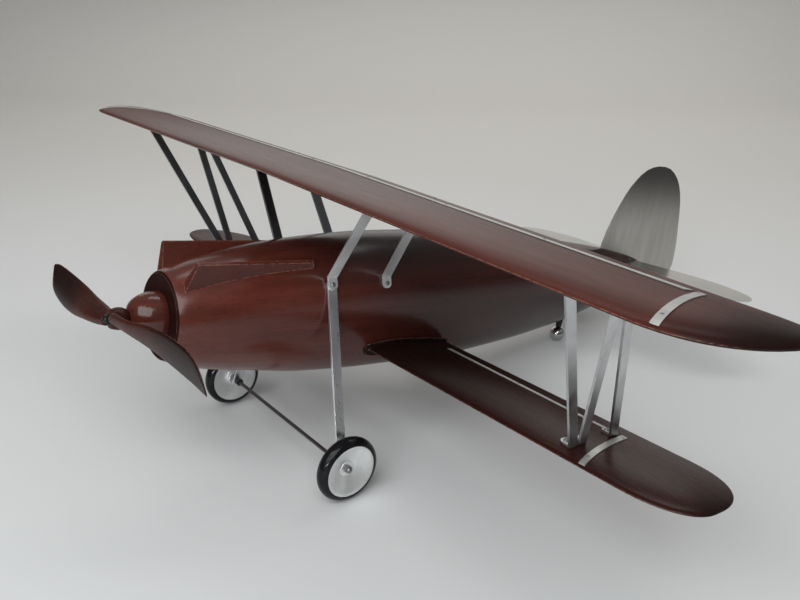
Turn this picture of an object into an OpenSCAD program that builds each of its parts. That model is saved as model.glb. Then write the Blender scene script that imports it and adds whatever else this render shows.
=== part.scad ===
// Wooden and metal display model of a single-engine biplane.
// It stands nose-high on two wheels and a tail ball, nose towards -Y,
// its own left wing towards +X. Every piece is drawn in the aeroplane's own
// axes, with the wheel axle at the origin, and then set on the ground.

/* [Stance] */
// nose-up angle at which the model rests on its wheels and tail ball, degrees
pitch = 11.1; // [8:0.1:14]
// shift that puts the middle of the whole model at Y = 0
shift_y = -320.9; // [-360:0.1:-280]

/* [Upper wing] */
// tip to tip width
span = 1200; // [1100:1:1350]
// front to back width
upper_chord = 168; // [140:1:190]
// leading edge, forward of the axle
upper_le_y = -78; // [-110:1:-50]
// leading edge height above the axle
upper_le_z = 325; // [300:1:350]
// length of the rounded tip
upper_tip = 86; // [60:1:150]
// slope of each half, rising outwards, as rise over run
upper_rise = -0.009; // [-0.02:0.001:0.03]

/* [Lower wing] */
// centre line to tip
lower_half = 526; // [480:1:600]
// front to back width
lower_chord = 132; // [110:1:150]
// leading edge behind the axle
lower_le_y = 75; // [50:1:100]
// leading edge height above the axle
lower_le_z = 112; // [100:1:125]
// length of the rounded tip
lower_tip = 81; // [50:1:120]
// slope of each half, rising outwards, as rise over run
lower_rise = 0.022; // [0:0.001:0.04]
// radius of the fillet between wing and fuselage
fillet = 7; // [5:1:20]

/* [Wing section] */
// thickness as a share of the chord
thick = 0.083; // [0.06:0.001:0.12]
// camber as a share of the chord
camber = 0.027; // [0:0.001:0.05]

/* [Flat bars] */
// width of the strut, cabane and undercarriage bars
bar_w = 12.7; // [10:0.1:16]
// thickness of the bars
bar_t = 3; // [2:0.1:4]

/* [Wheels] */
// tyre outside diameter
tyre_d = 82; // [76:1:90]
// distance from the centre line to the middle of a tyre
half_track = 146; // [130:1:160]
// axle diameter
axle_d = 5; // [4:0.1:6]

/* [Propeller] */
// hub to tip
blade_r = 218; // [200:1:235]
// position of the hub centre, forward of the axle
hub_y = -232; // [-240:1:-225]
// height of the shaft above the axle
hub_z = 154.5; // [150:0.5:160]
// angle of the blades from level at rest, degrees
blade_tilt = 2.1; // [-10:0.1:10]

/* [Tail] */
// height of the stabiliser above the axle
stab_z = 203; // [198:1:208]
// thickness of the fin and stabiliser sheets
sheet_t = 1.6; // [1:0.1:2.5]
// tail ball diameter
ball_d = 25.4; // [20:0.1:30]

/* [Hidden] */
$fn = 64;
gap = 0.03;
tyre_r = tyre_d / 2;
ball_r = ball_d / 2;
ball_y = 532;
ball_z = (ball_r - tyre_r + ball_y * sin(pitch)) / cos(pitch);
half = span / 2;
mahogany = [0.30, 0.10, 0.07];
dark_wood = [0.16, 0.06, 0.05];
alu = [0.78, 0.79, 0.80];
steel = [0.62, 0.63, 0.65];
black = [0.03, 0.03, 0.035];
root_x = 60;
brass = [0.78, 0.62, 0.30];

// fuselage stations: distance aft, top, bottom, half width
body = [
  [-185, 203.0, 106.0, 48.5],
  [-183, 205.2, 103.8, 50.6],
  [-172, 210.0, 99.6, 54.6],
  [-146, 218.9, 91.3, 60.0],
  [-110, 228.0, 85.0, 64.0],
  [-73, 235.7, 80.5, 66.0],
  [0, 246.3, 71.0, 67.0],
  [98, 253.8, 67.2, 67.2],
  [220, 255.5, 67.8, 69.0],
  [366, 248.7, 80.5, 65.0],
  [450, 242.0, 92.5, 58.0],
  [525, 235.0, 106.5, 50.0],
  [600, 226.0, 126.0, 39.0],
  [650, 218.0, 142.0, 30.0],
  [690, 210.0, 158.0, 21.0],
  [706, 205.6, 168.0, 15.0],
];

// propeller blade: radius, leading edge (aft, up), trailing edge (aft, up), thickness
blade = [
  [10, -9.0, 10.5, -1.0, -6.0, 12.0],
  [30, -12.5, 14.0, 0.5, -6.0, 10.5],
  [60, -14.6, 17.8, 1.6, -6.0, 9.0],
  [110, -11.4, 26.4, 4.3, -7.2, 7.5],
  [152, -8.4, 29.4, 4.8, -8.3, 6.0],
  [183, -6.5, 27.0, 4.5, -9.0, 4.6],
  [203, -5.5, 21.0, 3.5, -9.5, 3.4],
  [212, -3.5, 11.0, 2.5, -9.0, 2.6],
  [218, -0.5, -3.0, 0.5, -7.5, 1.6],
];

// ---------- helpers ----------

function unit(v) = v / norm(v);

// smooth curve through table rows, column k, at x
function seg(t, x, i = 0) = i >= len(t) - 2 || x < t[i + 1][0] ? i : seg(t, x, i + 1);
function slope_at(t, i, k) =
  i == 0 ? (t[1][k] - t[0][k]) / (t[1][0] - t[0][0])
  : i == len(t) - 1 ? (t[i][k] - t[i - 1][k]) / (t[i][0] - t[i - 1][0])
  : limited((t[i][k] - t[i - 1][k]) / (t[i][0] - t[i - 1][0]),
            (t[i + 1][k] - t[i][k]) / (t[i + 1][0] - t[i][0]));
function limited(a, b) = a * b <= 0 ? 0 : 2 * a * b / (a + b);
function curve(t, x, k) =
  let (i = seg(t, x), w = t[i + 1][0] - t[i][0], u = (x - t[i][0]) / w,
       a = t[i][k], b = t[i + 1][k], ma = slope_at(t, i, k) * w, mb = slope_at(t, i + 1, k) * w)
  a * (2 * u * u * u - 3 * u * u + 1) + ma * (u * u * u - 2 * u * u + u)
  + b * (3 * u * u - 2 * u * u * u) + mb * (u * u * u - u * u);

// a closed skin over rings of equal length, each ring clockwise about its own advance
module skin(rings) {
  n = len(rings[0]);
  m = len(rings);
  polyhedron(
    points = [for (r = rings) for (p = r) p],
    faces = concat(
      [[for (i = [n - 1:-1:0]) i]],
      [for (j = [0:m - 2]) for (i = [0:n - 1])
        [j * n + i, j * n + (i + 1) % n, (j + 1) * n + (i + 1) % n]],
      [for (j = [0:m - 2]) for (i = [0:n - 1])
        [j * n + i, (j + 1) * n + (i + 1) % n, (j + 1) * n + i]],
      [[for (i = [0:n - 1]) (m - 1) * n + i]]
    )
  );
}
function turned(r) = [for (i = [len(r) - 1:-1:0]) r[i]];

// keeps a carved shape as one smooth skin
module carved() {
  resize([0, 0, 0]) children();
}

// puts a piece made around its own Z axis at o, with Z along z and Y near y
module at(o, z, y = [0, 1, 0]) {
  zz = unit(z);
  yy = unit(y - (y * zz) * zz);
  xx = cross(yy, zz);
  multmatrix([
    [xx[0], yy[0], zz[0], o[0]],
    [xx[1], yy[1], zz[1], o[1]],
    [xx[2], yy[2], zz[2], o[2]],
    [0, 0, 0, 1]
  ]) children();
}

// everything behind the plane through o whose normal is n
module behind(o, n) {
  at(o, n) translate([-60, -60, -60]) cube([120, 120, 60]);
}

// straight flat bar from a to b, its width along Y
module flat_bar(a, b, extra = 0, w = bar_w) {
  at(a, b - a) translate([-bar_t / 2, -w / 2, -extra])
    cube([bar_t, w, norm(b - a) + 2 * extra]);
}

// flat end tab on the plane (o, n), reaching along d, with a screw hole
module tab(o, n, d, back, reach, w = bar_w) {
  at(o, n, cross(n, d)) difference() {
    linear_extrude(bar_t) polygon(concat(
      [[-back, -w / 2]],
      [for (a = [-90:12:90]) [reach - w / 2 + w / 2 * cos(a), w / 2 * sin(a)]],
      [[-back, w / 2]]
    ));
    translate([reach - w / 2, 0, -1]) cylinder(d = 3.4, h = bar_t + 2);
  }
}

// domed screw with a hexagon recess: head on the plane (o, n), shank going in
module dome_screw(o, n, shank, head = 5.8, d = 3, rise = 1.8) {
  at(o, n) difference() {
    rotate_extrude() polygon(concat(
      [[0, -shank], [d / 2, -shank + d / 2], [d / 2, 0], [head / 2, 0]],
      [for (a = [0:15:75]) [head / 2 * cos(a), rise * (0.3 + 0.7 * sin(a))]],
      [[0, rise]]
    ));
    translate([0, 0, rise - 1.2]) cylinder(d = 2.6, h = 3, $fn = 6);
  }
}

// ---------- wing section ----------

function half_thick(s) = 5 * thick * (0.2969 * sqrt(s) - 0.126 * s - 0.3516 * s * s
  + 0.2843 * s * s * s - 0.1036 * s * s * s * s) + 0.003 * s;
function mean_line(s) = s < 0.4 ? camber / 0.16 * (0.8 * s - s * s)
  : camber / 0.36 * (0.2 + 0.8 * s - s * s);
function top_of(s) = mean_line(s) + half_thick(s);
function foot_of(s) = mean_line(s) - half_thick(s);
function step(i, n) = (1 - cos(180 * i / n)) / 2;

// section as closed points (aft, up), chord c, skin moved out by g
sn = 16;
function base_pt(i, c) = let (k = i < sn ? sn - i : i - sn, s = step(k, sn))
  [s * c, (i <= sn ? top_of(s) : foot_of(s)) * c];
function rear_n(k, up) = k == 0 ? [1, 0] : k == 1 ? [0.8, 0.6 * up] : [0.4, 0.9 * up];
function section(c, g = 0) = [for (i = [0:2 * sn])
  let (p = base_pt(i, c), a = base_pt(max(i - 1, 0), c), b = base_pt(min(i + 1, 2 * sn), c),
       t = unit(b - a), k = min(i, 2 * sn - i))
  p + g * (k < 3 ? rear_n(k, i < sn ? 1 : -1) : [t[1], -t[0]])];

// rounded tip: cuts the chord back from both edges
function tip_cut(x, h, tip) = let (u = max(0, (abs(x) - (h - tip)) / tip))
  1 - pow(max(0, 1 - pow(u, 2.4)), 1 / 2.4);

function upper_ring(x, g) = let (k = tip_cut(x, half, upper_tip),
    le = 0.82 * upper_chord * k, c = upper_chord * (1 - k))
  [for (p = turned(section(c, g))) [x, upper_le_y + le + p[0],
    upper_le_z + upper_rise * abs(x) + p[1]]];

// the lower wing swells into the fuselage with a rounded fillet
function swell(x) = let (u = min(1, max(0, (root_x + fillet - x) / fillet)))
  fillet * (1 - sqrt(1 - u * u));
function lower_ring(x, g) = let (k = tip_cut(x, lower_half, lower_tip),
    le = 0.39 * lower_chord * k, c = lower_chord * (1 - k))
  [for (p = turned(section(c, g + swell(x)))) [x, lower_le_y + le + p[0],
    lower_le_z + lower_rise * (x - 61) + p[1]]];

tip_angles = concat([for (a = [0:6:78]) a], [82, 85, 87.5, 89]);
upper_half_x = [for (a = tip_angles) half - upper_tip * (1 - sin(a))];
upper_x = concat([for (i = [len(upper_half_x) - 1:-1:0]) -upper_half_x[i]], [0], upper_half_x);
lower_x = concat([40, 50], [for (a = [90:-15:0]) root_x + fillet * (1 - sin(a))],
  [for (a = tip_angles) lower_half - lower_tip * (1 - sin(a))]);

module upper_loft(g = 0) {
  skin([for (x = upper_x) upper_ring(x, g)]);
}
module lower_loft(g = 0) {
  skin([for (x = lower_x) lower_ring(x, g)]);
}

// points and slopes on the wing skins
function upper_foot(x, s) = [x, upper_le_y + s * upper_chord,
  upper_le_z + upper_rise * abs(x) + foot_of(s) * upper_chord];
function lower_top(x, s) = [x, lower_le_y + s * lower_chord,
  lower_le_z + lower_rise * (x - 61) + top_of(s) * lower_chord];
function upper_foot_n(s) = let (m = (foot_of(s + 0.03) - foot_of(s - 0.03)) / 0.06)
  unit([upper_rise, m, -1]);
function lower_top_n(s) = let (m = (top_of(s + 0.03) - top_of(s - 0.03)) / 0.06)
  unit([-lower_rise, -m, 1]);

// ---------- fuselage ----------

body_n = 44;
body_y = concat([-185, -184.5, -183.8, -183, -181, -177, -172, -164, -155],
  [for (y = [-146:18:700]) y], [706]);
function body_ring(y, g = 0) = let (t = curve(body, y, 1), b = curve(body, y, 2),
    w = curve(body, y, 3) + g, h = (t - b) / 2 + g, z = (t + b) / 2)
  [for (i = [0:body_n - 1]) let (a = 360 * i / body_n) [w * cos(a), y, z + h * sin(a)]];

module body_loft(g = 0) {
  skin([for (y = body_y) body_ring(y, g)]);
}

// half width of the fuselage at a station and height, and its outward slope
function side_x(y, z) = let (t = curve(body, y, 1), b = curve(body, y, 2),
    w = curve(body, y, 3), q = (z - (t + b) / 2) / ((t - b) / 2))
  w * sqrt(max(0, 1 - q * q));
function side_n(y, z) = let (t = curve(body, y, 1), b = curve(body, y, 2),
    w = curve(body, y, 3), h = (t - b) / 2, c = (t + b) / 2)
  unit([side_x(y, z) / (w * w), 0, (z - c) / (h * h)]);

module fuselage() {
  color(mahogany) difference() {
    carved() difference() {
      body_loft();
      // saw cut for the stabiliser
      translate([-80, 575, stab_z - sheet_t / 2 - gap]) cube([160, 200, sheet_t + 2 * gap]);
      // slot for the foot of the fin
      translate([-sheet_t / 2 - gap, 590, stab_z]) cube([sheet_t + 2 * gap, 200, 60]);
    }
    // holes for the fin pins
    for (y = [632, 668]) translate([-30, y, 209]) rotate([0, 90, 0])
      cylinder(d = 2, h = 60, $fn = 24);
    // seat of the propeller stud
    translate([0, -150, hub_z]) rotate([90, 0, 0]) cylinder(d = 6, h = 40);
    // hole for the tail ball's stem
    translate([0, ball_y, ball_z]) cylinder(d = 5, h = 54);
    // holes for the wing dowels
    for (s = dowel_s) translate([0, dowel_y(s), dowel_z(s)]) rotate([0, 90, 0])
      cylinder(d = 6, h = 200, center = true);
  }
}

// one straight cylinder-bank fairing, a wedge that sinks into the widening cowl
module bank() {
  color(mahogany) carved() difference() {
    intersection() {
      translate([0, -10, 0]) rotate([90, 0, 0]) linear_extrude(200)
        polygon([[49.5, 227], [46.5, 229.6], [44.8, 229], [14, 178], [28, 160]]);
      rotate([90, 0, 90]) linear_extrude(80)
        polygon([[-166, 232], [-177, 180], [-177, 150], [-18, 150], [-18, 222], [-21, 232]]);
    }
    body_loft(gap);
  }
}
module bank_left() { bank(); }
module bank_right() { mirror([1, 0, 0]) bank(); }

module nose_cone() {
  color(mahogany) translate([0, 0, hub_z]) rotate([90, 0, 0]) difference() {
    rotate_extrude() polygon(concat(
      [[0, 185 + gap], [28.5, 185 + gap], [29, 186.5]],
      [for (a = [10:10:80]) [9 + 20 * cos(a), 186.5 + 33 * sin(a)]],
      [[9, 220.5], [0, 220.5]]
    ));
    translate([0, 0, 180]) cylinder(d = 6.2, h = 60);
  }
}

// ---------- propeller ----------

module prop_stud() {
  color(steel) translate([0, 0, hub_z]) rotate([90, 0, 0]) translate([0, 0, 150])
    cylinder(d = 6, h = 95.5);
}
module prop_washers() {
  color(steel) translate([0, 0, hub_z]) rotate([90, 0, 0]) {
    translate([0, 0, 220.6]) difference() {
      cylinder(d = 13, h = 0.9);
      translate([0, 0, -1]) cylinder(d = 6.1, h = 3);
    }
    translate([0, 0, 241.1]) difference() {
      cylinder(d = 12, h = 0.9);
      translate([0, 0, -1]) cylinder(d = 6.1, h = 3);
    }
  }
}
module prop_nut() {
  color(steel) translate([0, 0, hub_z]) rotate([90, 0, 0]) difference() {
    union() {
      translate([0, 0, 242.1]) cylinder(d = 10, h = 3, $fn = 6);
      translate([0, 0, 245]) rotate_extrude() polygon(concat(
        [[0, -1]], [for (a = [0:15:75]) [4.1 * cos(a), 2.6 * sin(a)]], [[0, 2.6]]));
    }
    translate([0, 0, 240]) cylinder(d = 6, h = 5.6);
  }
}

// blade ring at radius r: a thin lens between the two edges
function blade_ring(r, flip) = let (
    la = curve(blade, r, 1), lu = curve(blade, r, 2),
    ta = curve(blade, r, 3), tu = curve(blade, r, 4), th = curve(blade, r, 5),
    c = [la, lu], d = [ta, tu] - c, n = unit([-d[1], d[0]]))
  [for (i = [0:23]) let (a = 360 * i / 24, s = (1 - cos(a)) / 2,
      q = c + s * d + n * (sin(a) > 0 ? 0.28 : 0.72) * th * sin(a) * (0.55 + 0.75 * (1 - s)) * 0.9)
    [flip * r * blade_r / 218, hub_y + q[0], hub_z + flip * q[1]]];
blade_rs = [10, 16, 24, 32, 42, 52, 64, 78, 92, 106, 120, 134, 148, 160, 171, 181, 189, 196, 202,
  207, 211, 214.5, 217, 218];

module propeller() {
  color(mahogany) translate([0, 0, hub_z]) rotate([0, -blade_tilt, 0]) translate([0, 0, -hub_z])
  difference() {
    carved() union() {
      skin([for (r = blade_rs) blade_ring(r, 1)]);
      skin([for (r = blade_rs) blade_ring(r, -1)]);
      translate([0, -222, hub_z]) rotate([90, 0, 0]) rotate_extrude($fn = 48)
        polygon([[0, 0], [9.5, 0], [10.8, 1.2], [12.2, 5], [12.6, 9], [12.0, 13], [10.8, 17],
          [9.8, 18.6], [9, 19], [0, 19]]);
    }
    translate([0, -200, hub_z]) rotate([90, 0, 0]) cylinder(d = 9, h = 60);
  }
}
module prop_bush() {
  color(brass) translate([0, -221.55, hub_z]) rotate([90, 0, 0]) difference() {
    cylinder(d = 9, h = 19.5);
    translate([0, 0, -1]) cylinder(d = 6.1, h = 25);
  }
}

// ---------- wings ----------

module upper_wing() {
  color(mahogany) upper_loft();
}

dowel_s = [0.30, 0.60];
function dowel_y(s) = lower_le_y + s * lower_chord;
function dowel_z(s) = lower_le_z + (mean_line(s)) * lower_chord;
module lower_wing() {
  color(mahogany) difference() {
    carved() difference() {
      lower_loft();
      body_loft(gap);
    }
    for (s = dowel_s) translate([30, dowel_y(s), dowel_z(s)]) rotate([0, 90, 0])
      cylinder(d = 6, h = 58);
  }
}
module lower_wing_left() { lower_wing(); }
module lower_wing_right() { mirror([1, 0, 0]) lower_wing(); }

// hardwood dowels that pin a lower wing to the fuselage
module wing_dowels() {
  color(dark_wood) for (s = dowel_s) translate([20, dowel_y(s), dowel_z(s)])
    rotate([0, 90, 0]) cylinder(d = 6, h = 67);
}
module wing_dowels_left() { wing_dowels(); }
module wing_dowels_right() { mirror([1, 0, 0]) wing_dowels(); }

// thin metal strip that follows the section from share s0 to s1 of the chord
module strip(c, s0, s1, length, t = 0.8) {
  n = 4;
  rotate([90, 0, 90]) linear_extrude(length) polygon(concat(
    [for (i = [0:n]) let (s = s0 + (s1 - s0) * i / n) [s * c, top_of(s) * c + gap]],
    [for (i = [n:-1:0]) let (s = s0 + (s1 - s0) * i / n) [s * c, top_of(s) * c + gap + t]]
  ));
}
module upper_strip() {
  color(alu) translate([0, upper_le_y, upper_le_z]) {
    for (m = [0, 1]) mirror([m, 0, 0]) rotate([0, -atan(upper_rise), 0])
      translate([-0.5, 0, 0]) strip(upper_chord, 0.62, 0.696, 494.5);
  }
}
module lower_strip() {
  p = lower_top(100, 0.79);
  q = lower_top(378, 0.735);
  color(alu) at(p + lower_top_n(0.75) * 0.1, q - p, lower_top_n(0.75)) translate([-3, 0, 0])
    cube([6, 0.8, norm(q - p)]);
}
module lower_strip_left() { lower_strip(); }
module lower_strip_right() { mirror([1, 0, 0]) lower_strip(); }

// slanted plan outlines of the bands that close off the strips at the tips
upper_band_plan = [[539, -100], [546.5, -100], [504, 46], [496.5, 46]];
lower_band_plan = [[407, 60], [414.6, 60], [390, 178], [382.4, 178]];

module upper_band() {
  color(alu) carved() intersection() {
    difference() {
      upper_loft(1 + gap);
      upper_loft(gap);
    }
    translate([0, 0, upper_le_z - 2]) linear_extrude(60) polygon(upper_band_plan);
    translate([400, upper_le_y + 3, 0]) cube([200, 0.682 * upper_chord, 900]);
  }
}
module upper_band_left() { upper_band(); }
module upper_band_right() { mirror([1, 0, 0]) upper_band(); }

module lower_band() {
  color(alu) carved() intersection() {
    difference() {
      lower_loft(1 + gap);
      lower_loft(gap);
    }
    translate([0, 0, lower_le_z + 8]) linear_extrude(60) polygon(lower_band_plan);
    translate([300, lower_le_y + 2, 0]) cube([200, 0.745 * lower_chord, 900]);
  }
}
module lower_band_left() { lower_band(); }
module lower_band_right() { mirror([1, 0, 0]) lower_band(); }

// tiny pins through the strips and bands
module trim_pin(p, n = [0, 0, 1]) {
  at(p + n * (0.8 + 2 * gap), n) rotate_extrude() polygon([[0, -6], [0.8, -5], [0.8, 0], [1.6, 0],
    [1.5, 0.25], [0.9, 0.5], [0, 0.6]]);
}
function upper_top(x, s) = let (k = tip_cut(x, half, upper_tip),
    le = 0.82 * upper_chord * k, c = upper_chord * (1 - k))
  [x, upper_le_y + le + s * c, upper_le_z + upper_rise * x + top_of(s) * c];
function top_n(s) = unit([0, -(top_of(s + 0.02) - top_of(s - 0.02)) / 0.04, 1]);
module trim_half() {
  trim_pin(upper_top(531, 0.1), top_n(0.1));
  trim_pin(upper_top(502.5, 0.655), top_n(0.655));
  trim_pin(lower_top(403.5, 0.12), lower_top_n(0.12));
  trim_pin(lower_top(389.5, 0.7), lower_top_n(0.7));
  for (x = [60, 200, 340]) trim_pin(upper_top(x, 0.658), top_n(0.658));
  for (x = [112, 230, 345]) trim_pin(lower_top(x, 0.79 - 0.055 * (x - 100) / 278) +
    lower_top_n(0.75) * 0.07, lower_top_n(0.75));
}
module trim_screws() {
  color(steel) trim_half();
  color(steel) mirror([1, 0, 0]) trim_half();
}

// ---------- interplane struts ----------

strut_w = 11;
strut_x0 = 381.8;
strut_x1 = 428.5;
strut_gap = 13.4;
front_s0 = 0.140;
rear_s0 = 0.650;
front_s1 = 0.270;
rear_s1 = 0.790;
diag_s0 = front_s0 + strut_gap / lower_chord;
diag_s1 = rear_s1 - strut_gap / upper_chord;

// one bar of the N, with a screwed tab at each end
module strut(s0, s1) {
  p = lower_top(strut_x0, s0);
  q = upper_foot(strut_x1, s1);
  pn = lower_top_n(s0);
  qn = upper_foot_n(s1);
  po = p + pn * 0.15;
  qo = q + qn * 0.15;
  color(alu) difference() {
    flat_bar(p, q, 14, strut_w);
    behind(po + pn * 0.4, pn);
    behind(qo + qn * 0.4, qn);
  }
  color(alu) tab(po, pn, [-1, 0, 0], 1, 15, strut_w);
  color(alu) tab(qo, qn, [-1, 0, 0], 1, 15, strut_w);
}
module strut_front_left() { strut(front_s0, front_s1); }
module strut_diagonal_left() { strut(diag_s0, diag_s1); }
module strut_rear_left() { strut(rear_s0, rear_s1); }
module strut_front_right() { mirror([1, 0, 0]) strut_front_left(); }
module strut_diagonal_right() { mirror([1, 0, 0]) strut_diagonal_left(); }
module strut_rear_right() { mirror([1, 0, 0]) strut_rear_left(); }

module tab_screw(p, n, reach) {
  d = unit([-1, 0, 0] - ([-1, 0, 0] * n) * n);
  dome_screw(p + n * (0.15 + bar_t + gap) + d * (reach - strut_w / 2), n, 11);
}
module strut_screws() {
  color(steel) for (s = [front_s0, diag_s0, rear_s0])
    tab_screw(lower_top(strut_x0, s), lower_top_n(s), 15);
  color(steel) for (s = [front_s1, diag_s1, rear_s1])
    tab_screw(upper_foot(strut_x1, s), upper_foot_n(s), 15);
}
module strut_screws_left() { strut_screws(); }
module strut_screws_right() { mirror([1, 0, 0]) strut_screws(); }

// ---------- cabanes and undercarriage ----------

side_z = 201;
front_y = 2;
rear_y = 86;
cabane_x = 132;
cabane_s = [0.422, 0.858];

// bar from a tab on the fuselage side up to a tab under the wing
module cabane(y, lift, s1) {
  n = side_n(y, side_z);
  up = unit([-n[2], 0, n[0]]);
  o = [side_x(y, side_z), y, side_z] + n * lift;
  q = upper_foot(cabane_x, s1);
  qn = upper_foot_n(s1);
  qo = q + qn * 0.15;
  bend = o + up * 9 + n * bar_t * 0.5;
  color(alu) difference() {
    flat_bar(bend, q, 10);
    behind(o + n * 0.4, n);
    behind(qo + qn * 0.4, qn);
    at(bend - up * 1.5, up) translate([-60, -60, -60]) cube([120, 120, 60]);
  }
  color(alu) tab(o + up * 10, n, -up, 1.2, 10 + bar_w / 2);
  color(alu) tab(qo, qn, [1, 0, 0], bar_t, 20);
}
module cabane_front_left() { cabane(front_y, bar_t + 0.35, cabane_s[0]); }
module cabane_rear_left() { cabane(rear_y, 0.3, cabane_s[1]); }
module cabane_front_right() { mirror([1, 0, 0]) cabane_front_left(); }
module cabane_rear_right() { mirror([1, 0, 0]) cabane_rear_left(); }

module cabane_screws() {
  for (v = [[front_y, 2 * bar_t + 0.35, 17], [rear_y, bar_t + 0.3, 14]]) {
    n = side_n(v[0], side_z);
    color(steel) dome_screw([side_x(v[0], side_z), v[0], side_z] + n * (v[1] + gap), n, v[2]);
  }
  for (s = cabane_s) {
    n = upper_foot_n(s);
    d = unit([1, 0, 0] - ([1, 0, 0] * n) * n);
    color(steel) dome_screw(upper_foot(cabane_x, s) + n * (0.15 + bar_t + gap)
      + d * (20 - bar_w / 2), n, 10);
  }
}
module cabane_screws_left() { cabane_screws(); }
module cabane_screws_right() { mirror([1, 0, 0]) cabane_screws(); }

leg_x = 132.5;
module gear_leg() {
  n = side_n(front_y, side_z);
  up = unit([-n[2], 0, n[0]]);
  o = [side_x(front_y, side_z), front_y, side_z] + n * 0.3;
  knee = o - up * 9 + n * bar_t * 0.5;
  color(alu) difference() {
    flat_bar([leg_x, 1.5, 0], knee, 7);
    at(knee + up * 1.5, -up) translate([-60, -60, -60]) cube([120, 120, 60]);
    translate([80, 0, 0]) rotate([0, 90, 0]) cylinder(d = axle_d + 0.1, h = 80);
  }
  color(alu) tab(o - up * 10, n, up, 1.2, 10 + bar_w / 2);
}
module gear_leg_left() { gear_leg(); }
module gear_leg_right() { mirror([1, 0, 0]) gear_leg(); }

module axle() {
  color(steel) translate([-151.5, 0, 0]) rotate([0, 90, 0]) cylinder(d = axle_d, h = 303);
}
module ring_x(x, w, od, id) {
  for (s = [1, -1]) translate([s > 0 ? x : -x - w, 0, 0]) rotate([0, 90, 0]) difference() {
    cylinder(d = od, h = w);
    translate([0, 0, -1]) cylinder(d = id, h = w + 2);
  }
}
module axle_collars() {
  color(black) ring_x(121.8, 7, 10, axle_d + 0.1);
}
module axle_spacers() {
  color(steel) ring_x(135.9, 1.2, 9, axle_d + 0.1);
}
module axle_nuts() {
  color(steel) for (s = [1, -1]) rotate([0, s * 90, 0]) difference() {
    union() {
      translate([0, 0, 146.8]) cylinder(d = 10, h = 3.6, $fn = 6);
      translate([0, 0, 150.3]) rotate_extrude() polygon(concat(
        [[0, -1]], [for (a = [0:15:75]) [3.9 * cos(a), 3.6 * sin(a)]], [[0, 3.6]]));
    }
    translate([0, 0, 140]) cylinder(d = axle_d, h = 11.5);
  }
}

// turned wheel with dished faces; outboard is +X of its own left side
rim_r = 33.2;
module wheel_hub() {
  color(alu) translate([half_track, 0, 0]) rotate([0, 90, 0]) rotate_extrude() polygon([
    [4, -8.5], [9, -8.5], [9.5, -8], [9.5, -4], [rim_r - 1.6, -9], [rim_r - 0.3, -9], [rim_r, -8.6],
    [rim_r, -5.2], [29, -5.2], [29, 5.2], [rim_r, 5.2], [rim_r, 8.6], [rim_r - 0.3, 9],
    [rim_r - 1.6, 9], [9.5, 0], [9, 0.5], [4, 0.5]]);
}
module wheel_bush() {
  color(brass) translate([half_track, 0, 0]) rotate([0, 90, 0]) rotate_extrude()
    polygon([[axle_d / 2 + 0.05, -8.8], [4, -8.8], [4, 0.7], [axle_d / 2 + 0.05, 0.7]]);
}
module tyre() {
  color(black) translate([half_track, 0, 0]) rotate([0, 90, 0]) difference() {
    rotate_extrude() translate([tyre_r - 10.4, 0]) circle(10.4);
    translate([0, 0, -20]) cylinder(r = 29.02, h = 40);
    for (s = [5.18, -25.18]) translate([0, 0, s]) cylinder(r = rim_r + 0.05, h = 20);
  }
}
module wheel_hub_left() { wheel_hub(); }
module wheel_bush_left() { wheel_bush(); }
module tyre_left() { tyre(); }
module wheel_hub_right() { mirror([1, 0, 0]) wheel_hub(); }
module wheel_bush_right() { mirror([1, 0, 0]) wheel_bush(); }
module tyre_right() { mirror([1, 0, 0]) tyre(); }

// ---------- tail ----------

fin_edge = [
  [599, 220], [600, 233], [603, 245], [606, 256], [610, 267], [615, 279], [621, 292], [628, 305],
  [636, 319], [645, 332], [656, 344], [668, 355], [682, 364], [698, 370], [716, 373], [734, 373],
  [751, 370], [766, 363], [779, 354], [790, 343], [800, 328], [808, 311], [815, 290], [821, 268],
  [826, 250], [830, 232], [833, 210], [834, 190], [829, 178], [818, 171], [800, 168], [770, 167],
  [740, 168], [722, 171], [712, 178], [709, 190],
];
module fin() {
  color(alu) difference() {
    translate([-sheet_t / 2, 0, 0]) rotate([90, 0, 90]) linear_extrude(sheet_t)
      polygon(concat([[599, stab_z + sheet_t / 2 + 2 * gap]], fin_edge,
        [[709, stab_z + sheet_t / 2 + 2 * gap]]));
    for (y = [632, 668]) translate([-5, y, 209]) rotate([0, 90, 0])
      cylinder(d = 2.06, h = 10, $fn = 24);
  }
}

stab_edge = [
  [0, 576], [14, 577], [40, 583], [80, 592], [120, 601], [160, 611], [190, 620], [212, 630],
  [227, 642], [237, 656], [241, 671], [239, 686], [231, 701], [217, 713], [198, 722], [174, 728],
  [146, 730], [116, 728], [86, 722], [58, 714], [34, 707], [14, 704], [0, 704],
];
module stabiliser() {
  color(alu) translate([0, 0, stab_z - sheet_t / 2]) linear_extrude(sheet_t) polygon(concat(
    stab_edge, [for (i = [len(stab_edge) - 2:-1:1]) [-stab_edge[i][0], stab_edge[i][1]]]));
}

// two cross pins that hold the foot of the fin in its slot
module fin_pins() {
  color(steel) for (y = [632, 668]) translate([-19, y, 209]) rotate([0, 90, 0])
    cylinder(d = 2, h = 38, $fn = 24);
}

module tail_ball() {
  color(steel) difference() {
    translate([0, ball_y, ball_z]) sphere(r = ball_r);
    translate([0, ball_y, ball_z]) cylinder(d = 5, h = 40);
  }
}
module ball_stem() {
  color(steel) translate([0, ball_y, ball_z]) rotate_extrude()
    polygon([[0, 0], [2.5, 0], [2.5, ball_r - 0.2], [4.4, ball_r - 0.2], [4.9, ball_r + 2],
      [5.6, curve(body, ball_y, 2) - ball_z + 1], [2.5, curve(body, ball_y, 2) - ball_z + 1],
      [2.5, 52], [0, 54]]);
}

// ---------- the whole model ----------

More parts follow.
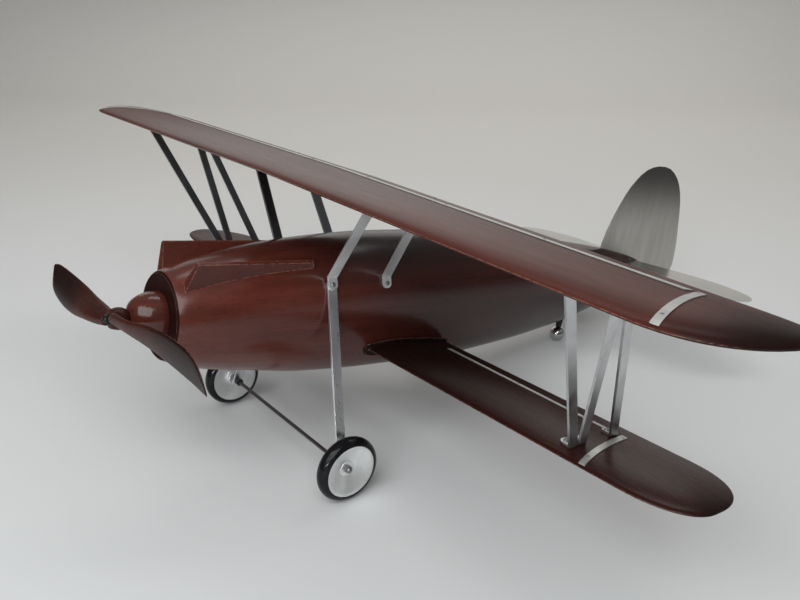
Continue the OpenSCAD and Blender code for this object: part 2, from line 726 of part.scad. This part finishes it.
module stand() {
  translate([0, shift_y, tyre_r]) rotate([-pitch, 0, 0]) children();
}
stand() fuselage();
stand() bank_left();
stand() bank_right();
stand() nose_cone();
stand() fin_pins();
stand() prop_stud();
stand() prop_washers();
stand() prop_nut();
stand() propeller();
stand() prop_bush();
stand() upper_wing();
stand() upper_strip();
stand() upper_band_left();
stand() upper_band_right();
stand() lower_wing_left();
stand() lower_strip_left();
stand() lower_band_left();
stand() wing_dowels_left();
stand() lower_wing_right();
stand() lower_strip_right();
stand() lower_band_right();
stand() wing_dowels_right();
stand() trim_screws();
stand() strut_front_left();
stand() strut_diagonal_left();
stand() strut_rear_left();
stand() strut_screws_left();
stand() strut_front_right();
stand() strut_diagonal_right();
stand() strut_rear_right();
stand() strut_screws_right();
stand() cabane_front_left();
stand() cabane_rear_left();
stand() cabane_screws_left();
stand() cabane_front_right();
stand() cabane_rear_right();
stand() cabane_screws_right();
stand() gear_leg_left();
stand() gear_leg_right();
stand() axle();
stand() axle_collars();
stand() axle_spacers();
stand() axle_nuts();
stand() wheel_hub_left();
stand() wheel_bush_left();
stand() tyre_left();
stand() wheel_hub_right();
stand() wheel_bush_right();
stand() tyre_right();
stand() fin();
stand() stabiliser();
stand() tail_ball();
stand() ball_stem();
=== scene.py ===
import math

import bpy
from mathutils import Matrix, Vector

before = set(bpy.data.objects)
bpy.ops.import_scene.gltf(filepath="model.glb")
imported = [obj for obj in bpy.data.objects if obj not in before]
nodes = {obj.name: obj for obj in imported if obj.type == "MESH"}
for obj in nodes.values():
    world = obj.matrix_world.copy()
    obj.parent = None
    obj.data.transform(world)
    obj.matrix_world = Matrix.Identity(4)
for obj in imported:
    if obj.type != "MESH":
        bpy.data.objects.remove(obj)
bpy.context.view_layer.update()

# The model stands nose-high. Grain, toning and painted shade follow its own axes, turned by PITCH about X.
PITCH = math.radians(11.1)
OWN_AXES = (PITCH, 0, 0)
ROW_AXES = (0, 0, 0)
AXLE_Y, AXLE_Z = -0.3209, 0.041
FRONT_RING_Y = -0.5055  # just behind the flat front face of the nose, in the model's own axes

WELD_DISTANCE = 0.00002
WOOD_SMOOTH_DEGREES = 38.0
PLAIN_SMOOTH_DEGREES = 28.0
SHEET_EDGE = 0.0004  # radius that catches light on the edges of thin metal, m


# ---------------------------------------------------------------- smooth shading

def smoothing_group():
    """A node group that keeps only the edges over an angle sharp."""
    g = bpy.data.node_groups.new("smooth_by_angle", "GeometryNodeTree")
    g.interface.new_socket("Geometry", in_out="INPUT", socket_type="NodeSocketGeometry")
    g.interface.new_socket("Angle", in_out="INPUT", socket_type="NodeSocketFloat")
    g.interface.new_socket("Geometry", in_out="OUTPUT", socket_type="NodeSocketGeometry")
    gi, go = g.nodes.new("NodeGroupInput"), g.nodes.new("NodeGroupOutput")
    faces = g.nodes.new("GeometryNodeSetShadeSmooth")
    edges = g.nodes.new("GeometryNodeSetShadeSmooth")
    edges.domain = "EDGE"
    edges.inputs["Shade Smooth"].default_value = False
    angle = g.nodes.new("GeometryNodeInputMeshEdgeAngle")
    over = g.nodes.new("ShaderNodeMath")
    over.operation = "GREATER_THAN"
    g.links.new(gi.outputs["Geometry"], faces.inputs["Geometry"])
    g.links.new(faces.outputs["Geometry"], edges.inputs["Geometry"])
    g.links.new(angle.outputs["Unsigned Angle"], over.inputs[0])
    g.links.new(gi.outputs["Angle"], over.inputs[1])
    g.links.new(over.outputs[0], edges.inputs["Selection"])
    g.links.new(edges.outputs["Geometry"], go.inputs["Geometry"])
    return g


SMOOTH = smoothing_group()


def smooth(obj, degrees):
    """Welds the mesh and shades it smooth up to an edge angle."""
    for name in ("custom_normal", "sharp_edge", "sharp_face"):
        a = obj.data.attributes.get(name)
        if a:
            obj.data.attributes.remove(a)
    w = obj.modifiers.new("weld", "WELD")
    w.merge_threshold = WELD_DISTANCE
    m = obj.modifiers.new("smooth", "NODES")
    m.node_group = SMOOTH
    key = [i.identifier for i in SMOOTH.interface.items_tree if i.name == "Angle"][0]
    m[key] = math.radians(degrees)


# ---------------------------------------------------------------- node helpers

# A Mix node has three sockets of each name. These are the places of its colour sockets.
MIX_A, MIX_B, MIX_RESULT = 6, 7, 2


class Mat:
    """A small builder for procedural materials."""

    def __init__(self, name):
        self.m = bpy.data.materials.new(name)
        self.m.use_nodes = True
        self.t = self.m.node_tree
        self.t.nodes.clear()
        self.out = self.t.nodes.new("ShaderNodeOutputMaterial")
        self.b = self.t.nodes.new("ShaderNodeBsdfPrincipled")
        self.t.links.new(self.b.outputs[0], self.out.inputs[0])
        self.coord = self.t.nodes.new("ShaderNodeTexCoord")

    def new(self, kind, **props):
        n = self.t.nodes.new(kind)
        for k, v in props.items():
            setattr(n, k, v)
        return n

    def link(self, a, b):
        self.t.links.new(a, b)

    def set(self, name, value):
        s = self.b.inputs[name]
        if hasattr(value, "is_output"):
            self.link(value, s)
        else:
            s.default_value = value

    def space(self, scale, turn=OWN_AXES, move=(0, 0, 0)):
        """Object coordinates turned into the model's own axes, then stretched and moved."""
        a = self.new("ShaderNodeMapping", vector_type="POINT")
        a.inputs["Rotation"].default_value = turn
        self.link(self.coord.outputs["Object"], a.inputs["Vector"])
        b = self.new("ShaderNodeMapping", vector_type="POINT")
        b.inputs["Location"].default_value = move
        b.inputs["Scale"].default_value = scale
        self.link(a.outputs[0], b.inputs["Vector"])
        return b.outputs[0]

    def noise(self, vector, detail, rough, distort=0.0):
        n = self.new("ShaderNodeTexNoise")
        n.inputs["Scale"].default_value = 1.0
        n.inputs["Detail"].default_value = detail
        n.inputs["Roughness"].default_value = rough
        n.inputs["Distortion"].default_value = distort
        self.link(vector, n.inputs["Vector"])
        return n.outputs["Fac"]

    def range(self, value, a, b, c=0.0, d=1.0, smooth=False):
        n = self.new("ShaderNodeMapRange", clamp=True)
        if smooth:
            n.interpolation_type = "SMOOTHSTEP"
        self.link(value, n.inputs["Value"])
        for k, v in (("From Min", a), ("From Max", b), ("To Min", c), ("To Max", d)):
            n.inputs[k].default_value = v
        return n.outputs["Result"]

    def math(self, op, a, b=0.0):
        n = self.new("ShaderNodeMath", operation=op)
        for i, v in enumerate((a, b)):
            if hasattr(v, "is_output"):
                self.link(v, n.inputs[i])
            else:
                n.inputs[i].default_value = v
        return n.outputs[0]

    def mix(self, fac, a, b):
        n = self.new("ShaderNodeMix", data_type="RGBA")
        for sock, v in ((n.inputs["Factor"], fac), (n.inputs[MIX_A], a), (n.inputs[MIX_B], b)):
            if hasattr(v, "is_output"):
                self.link(v, sock)
            elif isinstance(v, (tuple, list)):
                sock.default_value = (*v[:3], 1.0)
            else:
                sock.default_value = v
        return n.outputs[MIX_RESULT]

    def ramp(self, fac, stops):
        n = self.new("ShaderNodeValToRGB")
        r = n.color_ramp
        while len(r.elements) > 1:
            r.elements.remove(r.elements[-1])
        r.elements[0].position = stops[0][0]
        r.elements[0].color = (*stops[0][1], 1)
        for p, c in stops[1:]:
            e = r.elements.new(p)
            e.color = (*c, 1)
        self.link(fac, n.inputs[0])
        return n.outputs["Color"]

    def bump(self, height, strength, distance=0.001, normal=None):
        n = self.new("ShaderNodeBump")
        n.inputs["Strength"].default_value = strength
        n.inputs["Distance"].default_value = distance
        self.link(height, n.inputs["Height"])
        if normal is not None:
            self.link(normal, n.inputs["Normal"])
        return n.outputs[0]

    def bevel(self, radius):
        n = self.new("ShaderNodeBevel", samples=4)
        n.inputs["Radius"].default_value = radius
        return n.outputs[0]

    def edge(self, radius):
        """1 on convex and concave edges, 0 on open surface."""
        n = self.new("ShaderNodeBevel", samples=6)
        n.inputs["Radius"].default_value = radius
        g = self.new("ShaderNodeNewGeometry")
        d = self.new("ShaderNodeVectorMath", operation="DOT_PRODUCT")
        self.link(n.outputs[0], d.inputs[0])
        self.link(g.outputs["Normal"], d.inputs[1])
        return self.range(d.outputs["Value"], 0.97, 0.90)

    def axes(self, turn=OWN_AXES, centre=(0, 0, 0)):
        """The X, Y and Z of a point in metres, as three sockets."""
        s = self.new("ShaderNodeSeparateXYZ")
        self.link(self.space((1, 1, 1), turn, tuple(-c for c in centre)), s.inputs[0])
        return s.outputs


# ---------------------------------------------------------------- wood

DARK = (0.012, 0.0036, 0.003)
MID = (0.060, 0.0130, 0.0088)
RED = (0.124, 0.0285, 0.019)
PORE = (0.006, 0.003, 0.0025)
# dark colour for stain toning, and also for painted shade where a tone function adds shade
TONER_AND_SHADE = (0.0065, 0.0035, 0.003)
# light colour for the edges: chipped lacquer, and a painted edge highlight
WORN_AND_HIGHLIGHT = (0.42, 0.20, 0.15)


def mahogany(name, along, tone, gloss, coat, wear_and_highlight, grit=0.0, contrast=1.0):
    """Stained mahogany under lacquer, with the grain along "X" or "Y".

    tone(mat) gives two values: how red the colour is at a point, and how dark it is made, by stain toning
    and, in places, painted shade.
    gloss is the lacquer's roughness and coat its weight, a number or a function of mat.
    wear_and_highlight lightens the edges, partly as chipped lacquer and partly as a painted edge highlight,
    and grit dimples the surface in place of fine grain lines.
    """
    m = Mat(name)

    def stretch(a, b):
        return (a, b, b) if along == "X" else (b, a, b)

    figure = m.noise(m.space(stretch(1.6, 13)), 4, 0.55, 0.6)
    if grit:
        streak_scale, fine_scale = stretch(12, 60), stretch(90, 260)
        fine_depth, pore_depth = 0.08, 0.15
    else:
        streak_scale, fine_scale = stretch(5, 120), stretch(22, 900)
        fine_depth, pore_depth = 0.35, 0.5
    streak = m.noise(m.space(streak_scale, move=(3, 1, 2)), 5, 0.62, 0.4)
    fine = m.noise(m.space(fine_scale, move=(7, 5, 1)), 2, 0.5)
    pores = m.noise(m.space(stretch(55, 1500), move=(2, 9, 4)), 1, 0.5)
    pore = m.range(pores, 0.60, 0.68)
    # figure, streak and fine lines make up the grain, and grain and redness pick the colour
    g = m.math("ADD", m.math("MULTIPLY", figure, 0.50), m.math("MULTIPLY", streak, 0.38))
    g = m.math("ADD", g, m.math("MULTIPLY", fine, 0.12))
    spread = 0.14 / contrast
    grain = m.range(g, 0.5 - spread, 0.5 + spread)
    red, dark = tone(m)
    level = m.math("ADD", m.math("MULTIPLY", grain, 0.48), m.math("MULTIPLY", red, 0.58))
    colour = m.ramp(level, [(0.05, DARK), (0.42, MID), (0.95, RED)])
    colour = m.mix(m.math("MULTIPLY", pore, 0.32), colour, PORE)
    # darkening by the tone mask: stain toning, and painted shade where the tone function adds it
    colour = m.mix(dark, colour, TONER_AND_SHADE)
    # lighter edges: partly chipped lacquer, partly a painted edge highlight
    chips_and_glints = m.noise(m.space((260, 260, 260), move=(5, 3, 8)), 3, 0.6)
    rim = m.math("MULTIPLY", m.edge(0.0014), m.range(chips_and_glints, 0.38, 0.56))
    colour = m.mix(m.math("MULTIPLY", rim, wear_and_highlight), colour, WORN_AND_HIGHLIGHT)
    m.set("Base Color", colour)
    m.set("Roughness", m.range(m.math("ADD", streak, pore), 0.3, 1.2, gloss + 0.16, gloss + 0.30))
    m.set("Specular IOR Level", 0.0)
    m.set("Coat Weight", coat(m) if callable(coat) else coat)
    wavy = m.noise(m.space((9, 9, 9)), 2, 0.5)
    m.set("Coat Roughness", m.range(fine, 0.3, 0.7, gloss, gloss + 0.10))
    m.set("Coat IOR", 1.48)
    h = m.math("SUBTRACT", m.math("MULTIPLY", fine, fine_depth), m.math("MULTIPLY", pore, pore_depth))
    if grit:
        dimple = m.noise(m.space((330, 330, 330)), 2, 0.6)
        h = m.math("ADD", h, m.math("MULTIPLY", dimple, grit))
    m.set("Normal", m.bump(h, 0.25, 0.0003))
    flow = m.bump(m.math("ADD", wavy, m.math("MULTIPLY", fine, 0.05)), 0.12, 0.0012)
    m.set("Coat Normal", m.bump(m.math("MULTIPLY", h, 0.4), 0.12, 0.0003, flow))
    return m.m


def nose_face(m):
    """1 on the flat front ring behind the cone."""
    return m.range(m.axes()["Y"], FRONT_RING_Y - 0.0007, FRONT_RING_Y, 1.0, 0.0)


def body_coat(m):
    """The flat front ring is left nearly matt."""
    return m.range(nose_face(m), 0.0, 1.0, 1.0, 0.10)


def upper_coat(m):
    """The upper wing's lacquer is duller towards the tips."""
    x = m.math("ABSOLUTE", m.axes()["X"])
    return m.range(x, 0.10, 0.58, 0.94, 0.44, True)


def lower_coat(m):
    """The lower wing is dull by the body, and a little duller again at the tip."""
    x = m.math("ABSOLUTE", m.axes()["X"])
    inner = m.range(x, 0.20, 0.42, 0.22, 0.62, True)
    return m.math("MULTIPLY", inner, m.range(x, 0.46, 0.56, 1.0, 0.72, True))


def tone_body(m):
    """Red nose, darker top behind the nose, darker back and tail, and painted shade on the flat front ring.
    """
    a = m.axes()
    y = a["Y"]
    red = m.range(y, -0.47, 0.05, 1.0, 0.35, True)
    top = m.range(a["Z"], 0.150, 0.225, 0.0, 1.0, True)
    behind = m.range(y, -0.50, -0.20, 0.0, 1.0, True)
    dark = m.math("MULTIPLY", m.math("MULTIPLY", top, behind), 0.90)
    rear = m.math("MULTIPLY", m.range(y, -0.38, -0.10, 0.0, 1.0, True), 0.58)
    dark = m.math("MAXIMUM", dark, rear)
    # the flat front ring is darkened almost to black: painted shade
    return red, m.math("MAXIMUM", dark, m.math("MULTIPLY", nose_face(m), 0.88))


def tone_span(inner_red, tip0, tip1, level, root_painted_shade):
    """Toning of a wing: dark from tip0 to tip1 (metres out), level between, and root_painted_shade, painted
    shade where the wing meets the body.
    """
    def tone(m):
        x = m.math("ABSOLUTE", m.axes()["X"])
        tip = m.range(x, tip0, tip1, 0.0, 0.92, True)
        red = m.range(x, 0.15, tip0, inner_red, inner_red * 1.2)
        # darker towards the body: painted shade between the wing and the body
        root = m.range(x, 0.10, 0.36, root_painted_shade, level, True)
        return red, m.math("MAXIMUM", tip, root)
    return tone


def tone_flat(red, dark):
    """The same toning all over."""
    return lambda m: (red, dark)


def tone_blade(m):
    """Propeller blades darken towards their tips."""
    x = m.math("ABSOLUTE", m.axes()["X"])
    red = m.range(x, 0.02, 0.12, 0.5, 0.8)
    return red, m.range(x, 0.05, 0.16, 0.42, 0.92, True)


wood_body = mahogany("mahogany_body", "Y", tone_body, 0.17, body_coat, 0.85, 0.0, 1.25)
wood_nose = mahogany("mahogany_nose", "Y", tone_flat(0.88, 0.15), 0.10, 1.0, 0.4)
wood_bank = mahogany("mahogany_bank", "Y", tone_flat(0.85, 0.15), 0.2, 0.8, 1.0, 1.2, 0.45)
wood_upper = mahogany("mahogany_upper", "X", tone_span(0.66, 0.50, 0.585, 0.20, 0.20), 0.28, upper_coat, 0.7)
wood_lower = mahogany("mahogany_lower", "X", tone_span(0.42, 0.44, 0.54, 0.60, 0.93), 0.24, lower_coat, 0.5)
wood_prop = mahogany("mahogany_prop", "X", tone_blade, 0.22, 0.42, 0.3)


def dowel():
    """Bare pale wood, for the hidden dowels."""
    m = Mat("dowel_wood")
    g = m.noise(m.space((8, 400, 400)), 3, 0.5)
    m.set("Base Color", m.ramp(g, [(0.3, (0.25, 0.14, 0.07)), (0.7, (0.45, 0.28, 0.15))]))
    m.set("Roughness", m.range(g, 0, 1, 0.6, 0.8))
    m.set("Normal", m.bump(g, 0.3, 0.0002))
    return m.m


# ---------------------------------------------------------------- metal

def metal(name, colour, rough, stretch, depth, smear, edge, marks=0.0):
    """Bare metal with fine marks drawn out along one axis, soft edges and small dings.

    smear is how much the roughness varies, edge the edges' radius in metres, marks the dings' depth.
    """
    m = Mat(name)
    lines = m.noise(m.space(stretch), 4, 0.6)
    wide = m.noise(m.space(tuple(s * 0.12 for s in stretch), move=(4, 2, 6)), 3, 0.5)
    cloud = m.noise(m.space((24, 24, 24), move=(1, 5, 3)), 3, 0.55)
    base = m.mix(m.range(cloud, 0.35, 0.7), tuple(c * 0.86 for c in colour), colour)
    base = m.mix(m.range(lines, 0.45, 0.75, 0.0, 0.35), base, tuple(c * 0.7 for c in colour))
    m.set("Base Color", base)
    m.set("Metallic", 1.0)
    scratched = m.range(lines, 0.3, 0.7, rough, rough + smear * 0.3)
    m.set("Roughness", m.math("ADD", scratched, m.range(wide, 0.35, 0.65, 0.0, smear * 0.35)))
    h = m.math("ADD", m.math("MULTIPLY", lines, 0.6), m.math("MULTIPLY", wide, 1.2))
    n = m.bump(h, depth, 0.0002, m.bevel(edge) if edge else None)
    if marks:
        n = m.bump(m.noise(m.space((160, 160, 160)), 2, 0.5), marks, 0.0004, n)
    m.set("Normal", n)
    return m.m


def bar_metal(name, colour, rough):
    """Flat bar stock, drawn along its upright length."""
    return metal(name, colour, rough, (380, 380, 14), 0.3, 0.45, 0.0006, 0.10)


bars = bar_metal("bar_aluminium", (0.68, 0.69, 0.70), 0.24)
# a brighter copy of the same aluminium for the near cabane bars: painted sheen
cabane_bars_painted_sheen = bar_metal("cabane_aluminium_painted_sheen", (0.93, 0.94, 0.94), 0.40)
leg_bars = bar_metal("leg_aluminium", (0.86, 0.87, 0.89), 0.22)
# a dark copy of the same aluminium for the bars on the far side: painted shade
far_bars_painted_shade = bar_metal("bar_aluminium_painted_shade", (0.20, 0.205, 0.215), 0.28)
trim = metal("trim_aluminium", (0.66, 0.66, 0.645), 0.36, (16, 420, 420), 0.25, 0.4, 0.0003, 0.08)
ball = metal("ball_chrome", (0.55, 0.55, 0.56), 0.12, (60, 60, 60), 0.1, 0.2, 0.0)
hardware = metal("hardware_steel", (0.30, 0.30, 0.31), 0.3, (500, 500, 500), 0.2, 0.3, 0.0002)
axle_steel = metal("axle_steel", (0.17, 0.165, 0.16), 0.22, (14, 500, 500), 0.2, 0.3, 0.0003)
black_steel = metal("blackened_steel", (0.045, 0.043, 0.042), 0.35, (300, 300, 300), 0.2, 0.3, 0.0002)
brass = metal("bush_brass", (0.75, 0.56, 0.26), 0.3, (300, 300, 300), 0.2, 0.3, 0.0002)


def sheet_fin():
    """Brushed sheet, darker towards the top of the fin."""
    m = Mat("sheet_aluminium_fin")
    lines = m.noise(m.space((420, 420, 14)), 4, 0.6)
    broad = m.noise(m.space((38, 38, 7), move=(2, 0, 5)), 5, 0.6)
    top = m.range(m.axes()["Z"], 0.235, 0.345, 0.0, 1.0, True)
    base = m.mix(m.range(broad, 0.30, 0.72), (0.44, 0.42, 0.39), (0.60, 0.58, 0.55))
    base = m.mix(m.math("MULTIPLY", top, 0.92), base, (0.055, 0.05, 0.048))
    m.set("Base Color", base)
    m.set("Metallic", 1.0)
    fine_rough = m.range(lines, 0.3, 0.7, 0.30, 0.42)
    m.set("Roughness", m.math("ADD", fine_rough, m.range(broad, 0.3, 0.7, 0.0, 0.12)))
    height = m.math("ADD", lines, m.math("MULTIPLY", broad, 2.0))
    m.set("Normal", m.bump(height, 0.25, 0.0002, m.bevel(SHEET_EDGE)))
    return m.m


def sheet_stab():
    """Brighter sheet, brushed across."""
    m = Mat("sheet_aluminium_stabiliser")
    lines = m.noise(m.space((9, 500, 500)), 4, 0.6)
    broad = m.noise(m.space((4, 40, 40), move=(2, 0, 5)), 3, 0.55)
    m.set("Base Color", m.mix(m.range(broad, 0.35, 0.68), (0.66, 0.65, 0.63), (0.76, 0.75, 0.73)))
    m.set("Metallic", 1.0)
    m.set("Roughness", m.range(lines, 0.3, 0.7, 0.15, 0.26))
    m.set("Normal", m.bump(lines, 0.15, 0.0001, m.bevel(SHEET_EDGE)))
    return m.m


def turned_disc():
    """Faced on a lathe: circular marks round the axle, so light draws out into wedges."""
    m = Mat("disc_aluminium")
    a = m.axes(ROW_AXES, (0, AXLE_Y, AXLE_Z))
    square = m.math("ADD", m.math("POWER", a["Y"], 2.0), m.math("POWER", a["Z"], 2.0))
    r = m.math("POWER", square, 0.5)
    ring = m.new("ShaderNodeCombineXYZ")
    m.link(m.math("MULTIPLY", r, 2600.0), ring.inputs[0])
    lines = m.noise(ring.outputs[0], 3, 0.6)
    cloud = m.noise(m.space((60, 60, 60), ROW_AXES), 4, 0.6)
    speck = m.noise(m.space((700, 700, 700), ROW_AXES), 2, 0.6)
    base = m.mix(m.range(cloud, 0.35, 0.7), (0.82, 0.825, 0.82), (0.92, 0.925, 0.92))
    base = m.mix(m.range(speck, 0.62, 0.8, 0.0, 0.5), base, (0.45, 0.45, 0.45))
    m.set("Base Color", base)
    m.set("Metallic", 1.0)
    m.set("Roughness", m.range(cloud, 0.3, 0.7, 0.42, 0.54))
    m.set("Anisotropic", 0.5)
    tangent = m.new("ShaderNodeTangent", direction_type="RADIAL", axis="X")
    m.link(tangent.outputs[0], m.b.inputs["Tangent"])
    m.set("Normal", m.bump(lines, 0.25, 0.0001, m.bevel(SHEET_EDGE)))
    return m.m


def rubber():
    """Hard black tyre with a slight shine."""
    m = Mat("black_tyre")
    cloud = m.noise(m.space((60, 60, 60), ROW_AXES), 3, 0.5)
    fine = m.noise(m.space((900, 900, 900), ROW_AXES), 2, 0.5)
    m.set("Base Color", m.mix(cloud, (0.004, 0.004, 0.005), (0.010, 0.010, 0.011)))
    m.set("Roughness", m.range(cloud, 0.3, 0.7, 0.16, 0.28))
    m.set("Specular IOR Level", 0.16)
    m.set("Coat Weight", 0.16)
    m.set("Coat Roughness", 0.09)
    m.set("Normal", m.bump(fine, 0.12, 0.0002, m.bevel(0.0005)))
    return m.m


def black_paint():
    """Painted collars on the axle."""
    m = Mat("black_collar")
    cloud = m.noise(m.space((200, 200, 200), ROW_AXES), 3, 0.5)
    m.set("Base Color", m.mix(cloud, (0.012, 0.012, 0.013), (0.03, 0.03, 0.03)))
    m.set("Roughness", m.range(cloud, 0.3, 0.7, 0.3, 0.45))
    m.set("Normal", m.bump(cloud, 0.1, 0.0002, m.bevel(SHEET_EDGE)))
    return m.m


WOODS = (wood_body, wood_upper, wood_lower, wood_prop, wood_bank)

# The first row with a prefix of a node's name gives its material. The bars on the far side get a darker copy
# of the aluminium, painted shade.
LOOKS = (
    (("fuselage",), wood_body),
    (("bank_",), wood_bank),
    (("nose_cone",), wood_nose),
    (("propeller",), wood_prop),
    (("upper_wing",), wood_upper),
    (("lower_wing",), wood_lower),
    (("wing_dowels",), dowel()),
    (("upper_strip", "upper_band", "lower_strip", "lower_band"), trim),
    (("strut_front_right", "strut_diagonal_right", "strut_rear_right"), far_bars_painted_shade),
    (("cabane_front_right", "cabane_rear_right"), far_bars_painted_shade),
    (("cabane_front", "cabane_rear"), cabane_bars_painted_sheen),
    (("strut_front", "strut_diagonal", "strut_rear"), bars),
    (("gear_leg",), leg_bars),
    (("prop_stud", "prop_nut", "prop_washers", "ball_stem"), black_steel),
    (("fin_pins", "trim_screws", "strut_screws", "cabane_screws"), hardware),
    (("axle_spacers", "axle_nuts"), hardware),
    (("fin",), sheet_fin()),
    (("stabiliser",), sheet_stab()),
    (("wheel_hub",), turned_disc()),
    (("tyre",), rubber()),
    (("axle_collars",), black_paint()),
    (("axle",), axle_steel),
    (("tail_ball",), ball),
    (("prop_bush", "wheel_bush"), brass),
)


def dress():
    """Gives every node its material and shades it smooth."""
    for name, obj in nodes.items():
        look = next(mat for keys, mat in LOOKS if name.startswith(keys))
        for slot in obj.material_slots:
            slot.material = look
        smooth(obj, WOOD_SMOOTH_DEGREES if look in WOODS else PLAIN_SMOOTH_DEGREES)


dress()


# ---------------------------------------------------------------- studio

VIEW_AZIMUTH = math.radians(51.664)


def sweep_profile():
    """(distance back, height) of the sweep: a floor, a quarter round and a wall, in metres."""
    start, reach, radius, height, steps = -3.0, 2.6, 0.9, 3.4, 24
    profile = [(start, 0.0), (reach, 0.0)]
    for i in range(1, steps + 1):
        a = math.radians(90 * i / steps)
        profile.append((reach + radius * math.sin(a), radius * (1 - math.cos(a))))
    return profile + [(reach + radius, height)]


def sweep_paper():
    """Pale paper with a few specks, cool in front, and darker and warmer behind as painted shade."""
    m = Mat("sweep_paper")
    cloud = m.noise(m.space((0.9, 0.9, 0.9), ROW_AXES), 2, 0.5)
    speck = m.noise(m.space((260, 260, 260), ROW_AXES), 2, 0.6)
    base = m.mix(cloud, (0.72, 0.72, 0.72), (0.77, 0.77, 0.775))
    a = m.axes(ROW_AXES)
    # darker, warmer paper further back: painted shade
    far = m.range(m.math("SUBTRACT", a["Y"], a["X"]), 0.2, 2.4, 0.0, 1.0, True)
    base = m.mix(far, base, (0.665, 0.650, 0.625))
    base = m.mix(m.range(speck, 0.74, 0.80, 0.0, 0.25), base, (0.4, 0.4, 0.38))
    m.set("Base Color", base)
    m.set("Roughness", 0.62)
    m.set("Specular IOR Level", 0.3)
    tooth = m.noise(m.space((90, 90, 90), ROW_AXES), 3, 0.5)
    m.set("Normal", m.bump(tooth, 0.05, 0.0005))
    return m.m


def cyclorama():
    """Pale seamless sweep: flat floor that curves up into a wall behind the model."""
    half_width = 5.0
    back = Vector((-math.sin(VIEW_AZIMUTH), math.cos(VIEW_AZIMUTH), 0))
    side = Vector((math.cos(VIEW_AZIMUTH), math.sin(VIEW_AZIMUTH), 0))
    profile = sweep_profile()
    verts, faces = [], []
    for d, h in profile:
        for w in (-half_width, half_width):
            verts.append(tuple(back * d + side * w + Vector((0, 0, h))))
    for i in range(len(profile) - 1):
        faces.append((2 * i, 2 * i + 1, 2 * i + 3, 2 * i + 2))
    mesh = bpy.data.meshes.new("sweep")
    mesh.from_pydata(verts, [], faces)
    for p in mesh.polygons:
        p.use_smooth = True
    obj = bpy.data.objects.new("sweep", mesh)
    bpy.context.scene.collection.objects.link(obj)
    mesh.materials.append(sweep_paper())


cyclorama()


def area(name, at, target, size, power, colour):
    """A rectangular lamp the camera does not see, aimed at target."""
    light = bpy.data.lights.new(name, "AREA")
    light.shape = "RECTANGLE"
    light.size, light.size_y = size
    light.energy = power
    light.color = colour
    obj = bpy.data.objects.new(name, light)
    obj.location = at
    obj.rotation_euler = (Vector(target) - Vector(at)).to_track_quat("-Z", "Y").to_euler()
    obj.visible_camera = False
    bpy.context.scene.collection.objects.link(obj)


area("overhead", (1.10, -1.80, 2.05), (0.1, -0.35, 0), (2.9, 1.9), 56, (0.955, 0.995, 1.0))
area("key_front", (1.30, -2.10, 0.66), (0, -0.3, 0.2), (0.95, 0.075), 12, (0.94, 0.98, 1.0))
area("backdrop_wash", (-0.5, 1.1, 2.9), (-1.9, 2.2, 0.6), (2.8, 1.2), 31, (1.0, 0.985, 0.955))
area("back_panel", (-2.35, 1.75, 1.45), (0, 0, 0.2), (4.6, 1.5), 13, (1.0, 0.975, 0.94))


def studio_world():
    """A dim room, darker below than above. The camera itself sees a plain pale grey."""
    world = bpy.data.worlds.new("studio")
    world.use_nodes = True
    tree = world.node_tree
    tree.nodes.clear()
    link = tree.links.new
    out = tree.nodes.new("ShaderNodeOutputWorld")
    room = tree.nodes.new("ShaderNodeBackground")
    coord = tree.nodes.new("ShaderNodeTexCoord")
    split = tree.nodes.new("ShaderNodeSeparateXYZ")
    ramp = tree.nodes.new("ShaderNodeValToRGB")
    height = tree.nodes.new("ShaderNodeMapRange")
    height.inputs["From Min"].default_value = -1.0
    link(coord.outputs["Generated"], split.inputs[0])
    link(split.outputs["Z"], height.inputs["Value"])
    link(height.outputs[0], ramp.inputs[0])
    low, high = ramp.color_ramp.elements
    low.position, low.color = 0.45, (0.035, 0.034, 0.034, 1)
    high.position, high.color = 0.9, (0.24, 0.24, 0.24, 1)
    link(ramp.outputs[0], room.inputs[0])
    seen = tree.nodes.new("ShaderNodeBackground")
    seen.inputs[0].default_value = (0.50, 0.50, 0.49, 1)
    path = tree.nodes.new("ShaderNodeLightPath")
    mix = tree.nodes.new("ShaderNodeMixShader")
    link(path.outputs["Is Camera Ray"], mix.inputs[0])
    link(room.outputs[0], mix.inputs[1])
    link(seen.outputs[0], mix.inputs[2])
    link(mix.outputs[0], out.inputs[0])
    bpy.context.scene.world = world


studio_world()
bpy.context.scene.view_settings.view_transform = "Standard"
bpy.context.scene.view_settings.look = "None"

# ---------------------------------------------------------------- camera

VIEW_ELEVATION = math.radians(22.640)
VIEW_ROLL = math.radians(0.465)
CAMERA_AT = (0.8195, -0.7752, 0.5964)


def camera():
    """A 36 mm wide sensor and a 36 mm lens, looking down at the nose and the near wings."""
    az, el = VIEW_AZIMUTH, VIEW_ELEVATION
    back = Vector((math.sin(az) * math.cos(el), -math.cos(az) * math.cos(el), math.sin(el)))
    right = Vector((math.cos(az), math.sin(az), 0))
    up = right.cross(-back)
    rolled_right = right * math.cos(VIEW_ROLL) + up * math.sin(VIEW_ROLL)
    rolled_up = up * math.cos(VIEW_ROLL) - right * math.sin(VIEW_ROLL)
    cam = bpy.data.cameras.new("camera")
    cam.sensor_width = 36.0
    cam.lens = 36.38
    cam.clip_start = 0.02
    cam.clip_end = 30
    obj = bpy.data.objects.new("camera", cam)
    turn = Matrix((rolled_right, rolled_up, back)).transposed()
    obj.matrix_world = Matrix.Translation(CAMERA_AT) @ turn.to_4x4()
    bpy.context.scene.collection.objects.link(obj)
    bpy.context.scene.camera = obj


camera()
